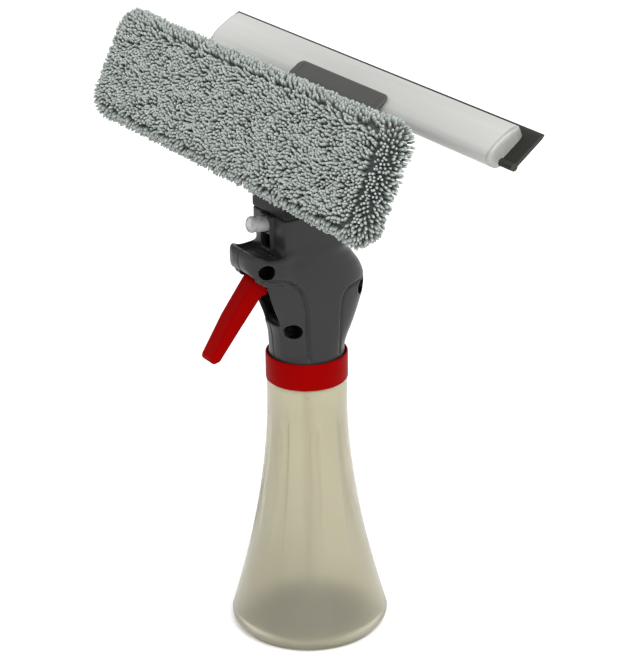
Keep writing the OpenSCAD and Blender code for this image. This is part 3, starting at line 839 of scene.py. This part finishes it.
def make_solid(name, sections, material, replaced, sharp=35):
    """A lofted solid, with its end faces cut into triangles."""
    points, faces, ends = loft(sections)
    mesh = bpy.data.meshes.new(name)
    mesh.from_pydata((points * MM).tolist(), [], faces + ends)
    shape = bmesh.new()
    shape.from_mesh(mesh)
    bmesh.ops.triangulate(shape, faces=[f for f in shape.faces if len(f.verts) > 4])
    bmesh.ops.recalc_face_normals(shape, faces=shape.faces)
    shape.to_mesh(mesh)
    shape.free()
    mesh.shade_smooth()
    mesh.set_sharp_from_angle(angle=math.radians(sharp))
    mesh.materials.append(material)
    solid = bpy.data.objects.new(name, mesh)
    scene.collection.objects.link(solid)
    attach(solid, "sprayer")
    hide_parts(*replaced)
    return solid


bar_half = 123.6
satin_silver = silver_finish("satin_silver", linear(171, 172, 167), linear(179, 180, 175))
# The caps take the bar's silver made darker: a painted shade that tones down the key light on their ends.
shaded_cap_silver = silver_finish("shaded_cap_silver", linear(146, 147, 142), linear(153, 154, 149))
bar_back = [
    (18, 1.4), (19, 5.4), (18.8, 6.4), (15.6, 7.6), (14.8, 7.9), (10, 8.7), (4, 9.1), (0.4, 8.8),
    (-2.6, 7.4), (-3.9, 5), (-3.7, 1.8), (-2.2, -1), (1, -2.3), (13.8, -2.4), (16.9, -1.5),
]
bead_y, bead_r = 1.6, 2.1
bead_turn = np.radians(np.linspace(-33, -327, 18))
bead_room = [(bead_y + bead_r * math.cos(a), bead_r * math.sin(a)) for a in bead_turn]
rubber_slot = [(17.2, -1.15)] + bead_room + [(17.6, 1.15)]
bar_section = np.concatenate([soften(bar_back, 1.2)[2:-2], rubber_slot])
bar_sections = [along_blade(x, bar_section) for x in (-bar_half, 0, bar_half)]
make_solid("bar_extrusion", bar_sections, satin_silver, ["blade_bar"])


def end_cap_form():
    """The closed section of a cap, from the bar outwards, shrinking towards its middle as it domes."""
    outline = soften(bar_back, 1.2)
    middle = np.array([8.0, 3.2])
    reach = [(0, 0.0), (0.9, 0.0), (1.5, 0.3), (2.0, 0.9), (2.35, 1.9), (2.5, 3.2)]
    rings = []
    for out, inset in reach:
        arm = outline - middle
        size = np.linalg.norm(arm, axis=1, keepdims=True)
        rings.append(along_blade(bar_half + out, middle + arm * (1 - np.minimum(inset / size, 0.9))))
    return rings


def make_end_caps():
    """Both domed caps as one piece, slotted where the rubber passes through them."""
    points, faces, ends = loft(end_cap_form())
    faces = faces + ends
    mirrored = points * (-1, 1, 1)
    caps = bmesh.new()
    for side in (points, mirrored):
        verts = [caps.verts.new(p * MM) for p in side]
        for face in faces:
            caps.faces.new([verts[k] for k in face])
    bmesh.ops.triangulate(caps, faces=[f for f in caps.faces if len(f.verts) > 4])
    bmesh.ops.recalc_face_normals(caps, faces=caps.faces)
    mesh = bpy.data.meshes.new("bar_caps")
    caps.to_mesh(mesh)
    caps.free()
    mesh.shade_smooth()
    mesh.set_sharp_from_angle(angle=math.radians(40))
    mesh.materials.append(shaded_cap_silver)
    piece = bpy.data.objects.new("bar_caps", mesh)
    scene.collection.objects.link(piece)
    slot_outline = [(30, -1.15)] + rubber_slot[1:-1] + [(30, 1.15)]
    points, faces, ends = loft([along_blade(x, slot_outline) for x in (-140, 140)])
    cutter_mesh = bpy.data.meshes.new("rubber_room")
    cutter_mesh.from_pydata((points * MM).tolist(), [], faces + ends)
    cutter_form = bmesh.new()
    cutter_form.from_mesh(cutter_mesh)
    bmesh.ops.triangulate(cutter_form, faces=cutter_form.faces)
    bmesh.ops.recalc_face_normals(cutter_form, faces=cutter_form.faces)
    cutter_form.to_mesh(cutter_mesh)
    cutter_form.free()
    cutter = bpy.data.objects.new("rubber_room", cutter_mesh)
    scene.collection.objects.link(cutter)
    cutting = piece.modifiers.new("slot", "BOOLEAN")
    cutting.operation = "DIFFERENCE"
    cutting.object = cutter
    bpy.context.view_layer.update()
    shaped = bpy.data.meshes.new_from_object(piece.evaluated_get(bpy.context.evaluated_depsgraph_get()))
    piece.modifiers.clear()
    piece.data = shaped
    bpy.data.objects.remove(cutter)
    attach(piece, "sprayer")
    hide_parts("bar_end_caps")


make_end_caps()


# ---- Rubber ------------------------------------------------------------------------------------
# A black natural rubber strip slides into the bar on its root bead. Its lip is ground square, and
# it stands out past both ends of the bar.
blade_rubber_finish = moulded_finish("blade_rubber", linear(28, 27, 24), linear(35, 34, 30),
                                     linear(52, 51, 47), (0.42, 0.56), 1600, 0.00003,
                                     Specular_IOR_Level=0.2)
rubber_half = 135.5
root_r = 1.95
root_turn = np.radians(np.linspace(-31, -329, 18))
rubber_root = [(bead_y + root_r * math.cos(a), root_r * math.sin(a)) for a in root_turn]
rubber_lip = soften([(3.4, 1), (20, 1), (22.6, 0.5), (22.6, -0.5), (20, -1), (3.4, -1)], 0.3, 3)[2:-2]
rubber_section = np.concatenate([rubber_root, rubber_lip])
end_steps = [(-rubber_half, 0.94), (-rubber_half + 0.25, 1), (rubber_half - 0.25, 1), (rubber_half, 0.94)]
rubber_sections = [along_blade(x, (rubber_section - (10, 0)) * (1, s) + (10, 0)) for x, s in end_steps]
make_solid("rubber_strip", rubber_sections, blade_rubber_finish, ["blade_rubber"])


# ---- Cover -------------------------------------------------------------------------------------
# A grey cover screws down on the bracket and clamps the bar. It has rounded corners and a short
# rib at each end where it is pressed on.
def make_cover():
    """The cover, from the clamp lip over the bar and the plate that runs forward of it."""
    step = 0.5
    low, high = (-41.5, -19, 286), (41.5, 30, 306)
    x, y, z = grid_over(low, high, step)
    along, out = blade_place(y, z)
    lip = [(-9, 9), (-4, 9), (-2.6, 9.4), (5.8, 9.5), (6.2, 10.1), (5.2, 10.9), (-3, 11.3), (-9, 10.8)]
    plate = [(15.5, 291.4), (15.5, 294.2), (4, 295.2), (-17, 295.2), (-17, 293.2), (3, 293.2), (9, 291.4)]
    plan = block(x, along, 0, (-40, -60, -90), (40, 6.1, 90), 4.5)
    form = common(outline_distance(lip, along, out), plan, 0.9)
    form = join(form, common(outline_distance(plate, y, z), np.abs(x) - 40, 0.9), 0.8)
    for place in (-35.5, 35.5):
        form = join(form, block(x, along, out, (place - 0.5, -4.5, 10), (place + 0.5, 4.2, 11.6), 0.3), 0.4)
    for place in (-10, 10):
        form = join(form, rod(x - place, y - 2, z, 3.4, 291.4, 294.2))
        form = cut(form, rod(x - place, y - 2, z, screw_bore, 280, 300))
        form = cut(form, rod(x - place, y - 2, z, 3.2, 293, 303))
    points, quads = skin(form, low, step)
    make_piece("clamp_cover", relax(points, quads), quads, plate_plastic, "sprayer", "plate_plastic",
               ["bracket_cover"], 60)


plate_plastic = moulded_finish("plate_plastic", linear(64, 64, 62), linear(70, 70, 68),
                               linear(84, 84, 81), (0.42, 0.5), 1200, 0.00004, Specular_IOR_Level=0.2)
make_cover()


# ---- Pad holder --------------------------------------------------------------------------------
# A flat black plate with two stiffening ribs is screwed to the bracket. Two strips of hook tape on
# its front hold the washer pad.
def place_on_pad(points):
    """Points given along the blade, behind the pad's middle and up its slope, in the object's frame."""
    points = np.asarray(points, float)
    return pad_middle + points[:, :1] * (1, 0, 0) + points[:, 1:2] * pad_out + points[:, 2:] * pad_up


def make_holder():
    """The plate, its ribs and its screw holes."""
    step = 0.7
    low, high = np.array((-124, 9.8, -23)), (124, 17.6, 23)
    x, behind, up = grid_over(low, high, step)
    plate = common(block(x, 0, up, (-122, -50, -21), (122, 50, 21), 6), np.abs(behind - 12.4) - 1.5, 1.2)
    for place in (-18.6, 18.9):
        plate = join(plate, block(x, behind, up, (-112, 12, place - 0.9), (112, 16, place + 0.9), 0.5), 1.2)
    for place in (-22, 22):
        plate = cut(plate, rod(x - place, up, behind, screw_bore, 8, 20))
    points, quads = skin(plate, low, step)
    make_piece("pad_holder_plate", place_on_pad(relax(points, quads)), quads, black_plastic, "sprayer",
               "black_plastic", ["pad_holder"], 60)


make_holder()
hook_tape = moulded_finish("hook_tape", linear(30, 30, 30), linear(46, 46, 46), linear(60, 60, 60),
                           (0.6, 0.8), 900, 0.0004)
finish_nodes(hook_tape, "hook_strips")


# ---- Washer pad --------------------------------------------------------------------------------
# A foam core in a sleeve of grey microfibre. The front panel is sewn to a border that wraps round
# the foam, and thick short pile stands out all over, painted dark towards its roots as painted shade between
# the strands and pale at the tips as painted light.
foam = moulded_finish("foam", linear(176, 170, 142), linear(194, 188, 160), linear(200, 194, 170),
                      (0.85, 0.95), 500, 0.0005)
sleeve_low = np.array([-125, -2.6, -26])  # along the blade, behind the pad's middle and up its slope
sleeve_high = np.array([132.5, 9.2, 30.5])
seam_inset, seam_round = np.array([9.5, 0, 6]), 7


def pad_block(inset, rounding, step):
    """A flat block with rounded corners and well rounded edges, inside the sleeve by an inset."""
    low, high = sleeve_low + inset, sleeve_high - inset
    x, behind, up = grid_over(low - 3, high + 3, step)
    flat = block(x, 0, up, (low[0], -50, low[2]), (high[0], 50, high[2]), 8)
    depth = np.abs(behind - (low[1] + high[1]) / 2) - (high[1] - low[1]) / 2
    return skin(common(flat, depth, rounding), low - 3, step)


def make_foam():
    """The foam core, out of sight inside the sleeve."""
    points, quads = pad_block(3.6, 4, 1.5)
    make_piece("pad_foam", place_on_pad(relax(points, quads, 3)), quads, foam, "washer_pad", "foam",
               ["pad_core"])


make_foam()


def swell(sleeve, reach):
    """Blows the sleeve up a little as cloth, and lets no point move further than its reach."""
    remesh = sleeve.modifiers.new("even", "REMESH")
    remesh.mode = "VOXEL"
    remesh.voxel_size = 4.5 * MM
    bpy.context.view_layer.update()
    sleeve.data = bpy.data.meshes.new_from_object(sleeve.evaluated_get(bpy.context.evaluated_depsgraph_get()))
    sleeve.modifiers.clear()
    start = np.array([v.co for v in sleeve.data.vertices])
    cloth = sleeve.modifiers.new("cloth", "CLOTH")
    cloth.settings.use_pressure = True
    cloth.settings.uniform_pressure_force = 4
    cloth.settings.effector_weights.gravity = 0
    for step in range(1, 21):
        scene.frame_set(step)
    swollen = bpy.data.meshes.new_from_object(sleeve.evaluated_get(bpy.context.evaluated_depsgraph_get()))
    sleeve.modifiers.clear()
    scene.frame_set(1)
    moved = np.array([v.co for v in swollen.vertices]) - start
    length = np.linalg.norm(moved, axis=1, keepdims=True)
    moved *= np.minimum(1, reach * MM / np.maximum(length, 1e-9))
    sleeve.data.vertices.foreach_set("co", (start + moved).ravel())
    finer = sleeve.modifiers.new("finer", "SUBSURF")
    finer.levels = 1
    bpy.context.view_layer.update()
    sleeve.data = bpy.data.meshes.new_from_object(sleeve.evaluated_get(bpy.context.evaluated_depsgraph_get()))
    sleeve.modifiers.clear()
    sleeve.data.shade_smooth()


def pile_group():
    """The pile's colour: painted shade towards the roots between the strands, painted light at the tips, with
    each strand a little different.
    """
    tree = bpy.data.node_groups.new("pile_colour", "ShaderNodeTree")
    for name, colour in (("Gap", linear(40, 46, 45)), ("Middle", linear(112, 119, 115)),
                         ("Tip", linear(156, 164, 157))):
        tree.interface.new_socket(name, in_out="INPUT", socket_type="NodeSocketColor").default_value = colour
    tree.interface.new_socket("Colour", in_out="OUTPUT", socket_type="NodeSocketColor")
    tree.interface.new_socket("Fuzz", in_out="OUTPUT", socket_type="NodeSocketFloat")
    given, put_out = tree.nodes.new("NodeGroupInput"), tree.nodes.new("NodeGroupOutput")
    along, strand = tree.nodes.new("ShaderNodeAttribute"), tree.nodes.new("ShaderNodeAttribute")
    along.attribute_name, strand.attribute_name = "along", "strand"
    # Painted shade and light: each strand runs from a dark root colour to a pale tip along its length.
    low_share = spread_value(tree, along.outputs["Fac"], 0, 1, 0.25, 0.75)
    tip_share = spread_value(tree, along.outputs["Fac"], 0, 1, 0.6, 1.0)
    dull_share = spread_value(tree, strand.outputs["Fac"], 0, 0.6, 0.0, 1.0)
    lower = blend_colours(tree, low_share, given.outputs["Gap"], given.outputs["Middle"])
    upper = blend_colours(tree, tip_share, lower, given.outputs["Tip"])
    duller = blend_colours(tree, dull_share, upper, lower)
    tree.links.new(duller, put_out.inputs["Colour"])
    place, fuzz = tree.nodes.new("ShaderNodeTexCoord"), tree.nodes.new("ShaderNodeTexNoise")
    fuzz.inputs["Scale"].default_value = 2600
    tree.links.new(place.outputs["Object"], fuzz.inputs["Vector"])
    tree.links.new(fuzz.outputs["Fac"], put_out.inputs["Fuzz"])
    return tree


pile_colour = pile_group()


def pile_finish(name, gap, middle, tip):
    """Microfibre strands with a soft sheen."""
    material = bpy.data.materials.new(name)
    material.use_nodes = True
    tree = material.node_tree
    shader = tree.nodes["Principled BSDF"]
    colours = tree.nodes.new("ShaderNodeGroup")
    colours.node_tree = pile_colour
    for socket, colour in (("Gap", gap), ("Middle", middle), ("Tip", tip)):
        colours.inputs[socket].default_value = colour
    tree.links.new(colours.outputs["Colour"], shader.inputs["Base Color"])
    tree.links.new(spread_value(tree, colours.outputs["Fuzz"], 0.75, 0.95), shader.inputs["Roughness"])
    raise_height(tree, colours.outputs["Fuzz"], 0.0002)
    shader.inputs["Sheen Weight"].default_value = 0.25
    shader.inputs["Sheen Roughness"].default_value = 0.5
    return material


def scatter_roots(mesh, spacing, rng):
    """Places on a mesh no nearer each other than spacing, with the surface's direction at each."""
    mesh.calc_loop_triangles()
    corners = np.array([[mesh.vertices[k].co for k in t.vertices] for t in mesh.loop_triangles]) / MM
    normals = np.array([[mesh.vertices[k].normal for k in t.vertices] for t in mesh.loop_triangles])
    area = np.linalg.norm(np.cross(corners[:, 1] - corners[:, 0], corners[:, 2] - corners[:, 0]), axis=1) / 2
    tries = int(area.sum() / spacing ** 2 * 6)
    chosen = rng.choice(len(area), tries, p=area / area.sum())
    share = rng.dirichlet((1, 1, 1), tries)[:, :, None]
    places, ways = (corners[chosen] * share).sum(1), (normals[chosen] * share).sum(1)
    cells, kept = {}, []
    for k, (place, cell) in enumerate(zip(places, np.floor(places / spacing).astype(int))):
        near = [q for a in (-1, 0, 1) for b in (-1, 0, 1) for c in (-1, 0, 1)
                for q in cells.get((cell[0] + a, cell[1] + b, cell[2] + c), ())]
        if all(((place - places[q]) ** 2).sum() >= spacing ** 2 for q in near):
            cells.setdefault(tuple(cell), []).append(k)
            kept.append(k)
    ways = ways[kept] / np.linalg.norm(ways[kept], axis=1, keepdims=True)
    return places[kept], ways


def swirl(places, ways, rng):
    """A way for each strand to lean, that turns slowly over the cloth as brushed pile does."""
    sideways = np.cross(ways, np.array([0.31, 0.2, 0.93]))
    sideways /= np.linalg.norm(sideways, axis=1, keepdims=True)
    turn = np.zeros(len(places))
    for wave in (70, 38, 21, 12):
        heading = rng.uniform(0, math.tau, 3)
        slope = rng.normal(0, 1, (2, 3)) * math.tau / wave / 1.6
        waves = np.sin(places @ slope[0] + heading[0]) * np.sin(places @ slope[1] + heading[1])
        turn += 1.7 * waves
    turn = (turn + 0.4 + rng.normal(0, 0.35, len(places)))[:, None]
    return sideways * np.cos(turn) + np.cross(ways, sideways) * np.sin(turn)


def outwards(places, ways, rng):
    """A way for each strand of the border to lean: out from the pad's middle, with some disorder."""
    middle = pad_middle + (2, 0, 0) + 2 * pad_up
    away = (places - middle) * (0.16, 1, 1)
    away += rng.normal(0, 9, away.shape)
    away -= ways * (away * ways).sum(1, keepdims=True)
    return away / np.linalg.norm(away, axis=1, keepdims=True)


def make_strands(name, roots, ways, leaning, material, rng, length, radius, lean):
    """Bent blunt strands from their roots, all in one piece."""
    count, sides, rings = len(roots), 5, 4
    long = rng.uniform(*length, (count, 1))
    thick = rng.uniform(*radius, (count, 1))
    bend = rng.uniform(*lean, (count, 1))
    t = np.array([0, 0.45, 0.82, 0.96, 1.0])
    width = np.array([0.8, 1.0, 0.96, 0.62, 0.0])
    angle = bend * t
    halfway, root = (angle[:, 1:] + angle[:, :-1]) / 2, np.zeros((count, 1))
    reach = long * np.concatenate([root, np.cumsum(np.diff(t) * np.cos(halfway), 1)], 1)
    drift = long * np.concatenate([root, np.cumsum(np.diff(t) * np.sin(halfway), 1)], 1)
    spine = roots[:, None] + ways[:, None] * reach[:, :, None] + leaning[:, None] * drift[:, :, None]
    across = np.cross(leaning, ways)[:, None]
    upright = leaning[:, None] * np.cos(angle)[:, :, None] - ways[:, None] * np.sin(angle)[:, :, None]
    start = rng.uniform(0, math.tau, (count, 1, 1))
    around = (start + np.arange(sides) * math.tau / sides)[:, :, :, None]
    thickness = (thick * width)[:, :rings, None, None]
    ring_way = np.cos(around) * across[:, :, None] + np.sin(around) * upright[:, :rings, None]
    tube = spine[:, :rings, None] + thickness * ring_way
    per = rings * sides + 1
    points = np.concatenate([tube.reshape(count, -1, 3), spine[:, rings:]], 1).reshape(-1, 3)
    ring, side = np.meshgrid(range(rings - 1), range(sides), indexing="ij")
    after = (side + 1) % sides
    quads = np.stack([ring * sides + side, ring * sides + after, (ring + 1) * sides + after,
                      (ring + 1) * sides + side], -1).reshape(-1, 4)
    top = (rings - 1) * sides
    tips = np.array([[top + k, top + (k + 1) % sides, rings * sides] for k in range(sides)])
    shift = (np.arange(count) * per)[:, None, None]
    faces = (quads + shift).reshape(-1, 4).tolist() + (tips + shift).reshape(-1, 3).tolist()
    mesh = bpy.data.meshes.new(name)
    mesh.from_pydata((points * MM).tolist(), [], faces)
    mesh.shade_smooth()
    mesh.materials.append(material)
    along = np.tile(np.append(np.repeat(t[:rings], sides), 1.0), count)
    mesh.attributes.new("along", "FLOAT", "POINT").data.foreach_set("value", along)
    strand = np.repeat(rng.uniform(0, 1, count), per)
    mesh.attributes.new("strand", "FLOAT", "POINT").data.foreach_set("value", strand)
    piece = bpy.data.objects.new(name, mesh)
    scene.collection.objects.link(piece)
    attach(piece, "washer_pad")
    return piece


def spread_over(value, start, end, low, high):
    """Goes from low to high as a value goes from start to end."""
    return low + (high - low) * np.clip((value - start) / (end - start), 0, 1)


def make_pad():
    """The sleeve and its pile: the front panel, the border sewn round it, and the rim."""
    rng = np.random.default_rng(7)
    points, quads = pad_block(0, 8, 1.6)
    # The sleeve has no strand attributes, so it shows the dark root colour all over, the same painted shade
    # as between the strands.
    backing = pile_finish("sleeve_cloth", linear(44, 51, 49), linear(52, 59, 57), linear(60, 67, 65))
    mesh = bpy.data.meshes.new("pad_sleeve")
    mesh.from_pydata((place_on_pad(points) * MM).tolist(), [], quads.tolist())
    sleeve = bpy.data.objects.new("pad_sleeve", mesh)
    mesh.materials.append(backing)
    scene.collection.objects.link(sleeve)
    swell(sleeve, 1.2)
    roots, ways = scatter_roots(sleeve.data, 1.27, rng)
    behind = (roots - pad_middle) @ pad_out
    up = (roots - pad_middle) @ pad_up
    facing = -(ways @ pad_out)
    inner_low, inner_high = sleeve_low + seam_inset, sleeve_high - seam_inset
    from_seam = block(roots[:, 0], 0, up, (inner_low[0], -50, inner_low[2]),
                      (inner_high[0], 50, inner_high[2]), seam_round)
    gap = spread_over(roots[:, 0], 100, 115, 0.25, 0.85)
    forward = (facing > 0.5) & (behind < 3)
    pile = pile_finish("microfibre_pile", linear(46, 53, 51), linear(124, 131, 127), linear(172, 180, 173))
    groups = (
        ("pad_pile_front", forward & (from_seam < -gap), swirl, (3.6, 4.8), (0.58, 0.78), (0.2, 1.0)),
        ("pad_pile_border", forward & (from_seam > gap), outwards, (3.8, 5.0), (0.56, 0.76), (0.2, 0.8)),
        ("pad_pile_rim", ~forward & (facing > -0.85), outwards, (3.8, 5.2), (0.56, 0.76), (0.1, 0.7)),
    )
    for name, here, heading, length, radius, lean in groups:
        starts = roots[here] - ways[here] * 0.6
        leaning = heading(starts, ways[here], rng)
        make_strands(name, starts, ways[here], leaning, pile, rng, length, radius, lean)
    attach(sleeve, "washer_pad")
    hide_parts("washer_pad")


make_pad()
